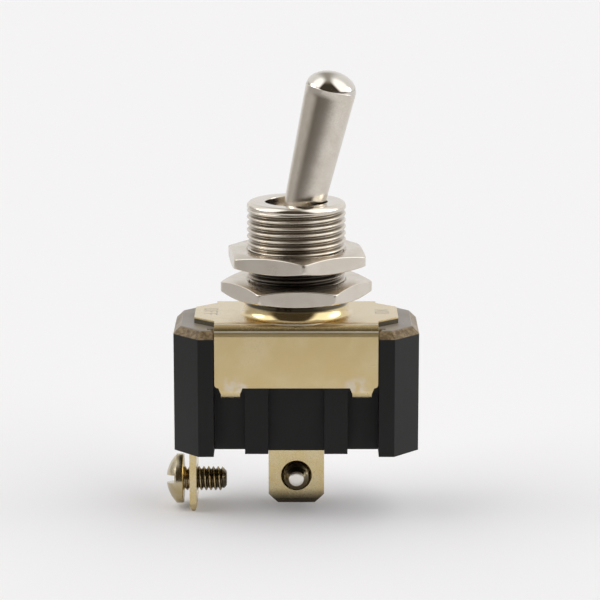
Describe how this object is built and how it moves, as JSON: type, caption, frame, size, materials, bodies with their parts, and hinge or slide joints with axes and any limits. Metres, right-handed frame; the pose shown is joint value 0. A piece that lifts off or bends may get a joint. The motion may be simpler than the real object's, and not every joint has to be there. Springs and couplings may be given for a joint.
{
  "type": "panel toggle switch",
  "caption": "Heavy-duty bat-handle toggle switch with a threaded panel bushing and nuts, a moulded case held in a stamped metal frame, and screw terminals below.",
  "frame": {"origin": "on the bushing's axis, level with the front face of the face nut, where the free thread begins", "axes": "+Z along the bushing towards the lever; +X along the case, the way the lever leans at rest; -Y is the side of the switch that faces the viewer"},
  "size_m": [0.0306, 0.018, 0.0538],
  "materials": {
    "phenolic": "black moulded phenolic, slightly glossy",
    "yellow_zinc": "stamped steel with yellow zinc plating",
    "nickel": "bright satin nickel plating",
    "lever_nickel": "brushed nickel plating with a polished tip",
    "fibre": "matt vulcanised fibre",
    "steel": "plain drawn steel",
    "nylon": "natural nylon",
    "copper_alloy": "bright copper alloy",
    "silver": "fine silver contact",
    "terminal_brass": "bright plated brass",
    "screw_plating": "steel with yellow zinc plating"
  },
  "bodies": {
    "switch_body": {"case": "phenolic", "cover_frame": "yellow_zinc", "liner": "fibre", "bushing": "nickel", "fulcrum_bracket": "terminal_brass", "centre_terminal": "terminal_brass", "end_terminal": "terminal_brass", "contact_rivet": "silver"},
    "face_nut": {"face_nut": "nickel"},
    "back_nut": {"back_nut": "nickel"},
    "lever": {"lever": "lever_nickel", "pivot_pin": "steel"},
    "plunger": {"plunger": "nylon", "plunger_spring": "steel"},
    "rocker": {"rocker": "copper_alloy", "moving_contact": "silver"},
    "centre_screw": {"centre_screw": "screw_plating"},
    "end_screw": {"end_screw": "screw_plating"}
  },
  "joints": [
    {"name": "lever_tilt", "type": "hinge", "parent": "switch_body", "child": "lever", "pos_m": [0, 0, 0.00112], "axis": [0, 1, 0], "range_deg": [-25.6, 0]},
    {"name": "rocker_tilt", "type": "hinge", "parent": "switch_body", "child": "rocker", "pos_m": [0, 0, -0.01651], "axis": [0, 1, 0], "range_deg": [0, 18]},
    {"name": "plunger_slide", "type": "slide", "parent": "lever", "child": "plunger", "axis": [0.2215, 0, 0.9751], "range_m": [0, 0.0008], "stiffness_N_per_m": 800, "springref_m": -0.001, "deforming": ["plunger_spring"]},
    {"name": "face_nut_turn", "type": "hinge", "parent": "switch_body", "child": "face_nut", "pos_m": [0, 0, -0.00097], "axis": [0, 0, 1], "continuous": true},
    {"name": "back_nut_turn", "type": "hinge", "parent": "switch_body", "child": "back_nut", "pos_m": [0, 0, -0.00473], "axis": [0, 0, 1], "continuous": true},
    {"name": "centre_screw_turn", "type": "hinge", "parent": "switch_body", "child": "centre_screw", "pos_m": [0, 0, -0.02841], "axis": [0, 1, 0], "continuous": true},
    {"name": "end_screw_turn", "type": "hinge", "parent": "switch_body", "child": "end_screw", "pos_m": [-0.01257, 0, -0.02886], "axis": [1, 0, 0], "continuous": true}
  ],
  "couplings": [
    {"joint": "rocker_tilt", "follows": "lever_tilt", "ratio": -0.70312}
  ]
}
